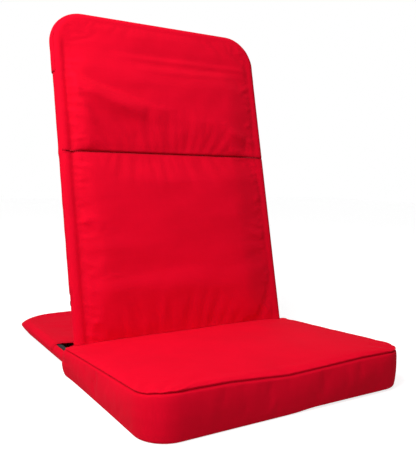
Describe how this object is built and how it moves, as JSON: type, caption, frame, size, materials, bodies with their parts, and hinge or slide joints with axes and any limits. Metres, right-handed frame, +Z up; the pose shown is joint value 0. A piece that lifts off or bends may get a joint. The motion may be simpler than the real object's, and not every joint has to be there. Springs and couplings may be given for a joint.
{
  "type": "folding floor chair",
  "caption": "Folding floor chair: padded canvas back hinged to a flat steel base loop, with a boxed foam seat cushion.",
  "frame": {"origin": "middle of the floor area that the chair covers, on the floor", "axes": "+X to the right seen from the front, +Y to the rear, +Z up; the seat faces -Y"},
  "size_m": [0.5334, 0.7622, 0.7167],
  "materials": {
    "painted_steel": "black powder coat",
    "zinc_steel": "zinc plated",
    "black_plastic": "moulded",
    "nylon": "moulded nylon",
    "rubber": "moulded",
    "foam": "open cell foam",
    "zip_tape": "woven tape",
    "zip_metal": "red enamel",
    "lining_cloth": "plain lining",
    "red_canvas": "cotton canvas"
  },
  "bodies": {
    "base": {"base_frame_tube": "painted_steel", "base_front_crossbar": "painted_steel", "base_rear_crossbar": "painted_steel", "base_end_plug_left": "black_plastic", "base_end_plug_right": "black_plastic", "hinge_bracket_left": "painted_steel", "hinge_bracket_right": "painted_steel", "pivot_bolt_left": "zinc_steel", "pivot_bolt_right": "zinc_steel", "pivot_nut_left": "zinc_steel", "pivot_nut_right": "zinc_steel", "pivot_spacer_left": "nylon", "pivot_spacer_right": "nylon", "stop_pin_left": "zinc_steel", "stop_pin_right": "zinc_steel", "stop_buffer_left": "rubber", "stop_buffer_right": "rubber", "seat_foam": "foam", "seat_top_panel": "red_canvas", "seat_side_band": "red_canvas", "seat_bottom_panel": "red_canvas", "seat_zip_tape": "zip_tape", "base_sleeve_upper": "red_canvas", "base_sleeve_lower": "red_canvas"},
    "back": {"back_frame_tube": "painted_steel", "back_lower_crossbar": "painted_steel", "back_leg_plug_left": "black_plastic", "back_leg_plug_right": "black_plastic", "pivot_sleeve_left": "painted_steel", "pivot_sleeve_right": "painted_steel", "back_foam_lower": "foam", "back_foam_upper": "foam", "back_front_panel_lower": "red_canvas", "back_front_panel_upper": "red_canvas", "back_cross_seam_tape": "red_canvas", "back_lining": "lining_cloth", "back_rear_panel": "red_canvas", "back_side_binding_left": "red_canvas", "back_side_binding_right": "red_canvas", "back_hood_pocket": "red_canvas"},
    "zip": {"seat_zip_slider": "zip_metal", "seat_zip_pull": "zip_metal"}
  },
  "joints": [
    {"name": "back_fold", "type": "hinge", "parent": "base", "child": "back", "pos_m": [0, -0.004, 0.095], "axis": [1, 0, 0], "range_deg": [0, 101.5]},
    {"name": "zip_slide", "type": "slide", "parent": "base", "child": "zip", "axis": [1, 0, 0], "range_m": [0, 0.34]}
  ]
}
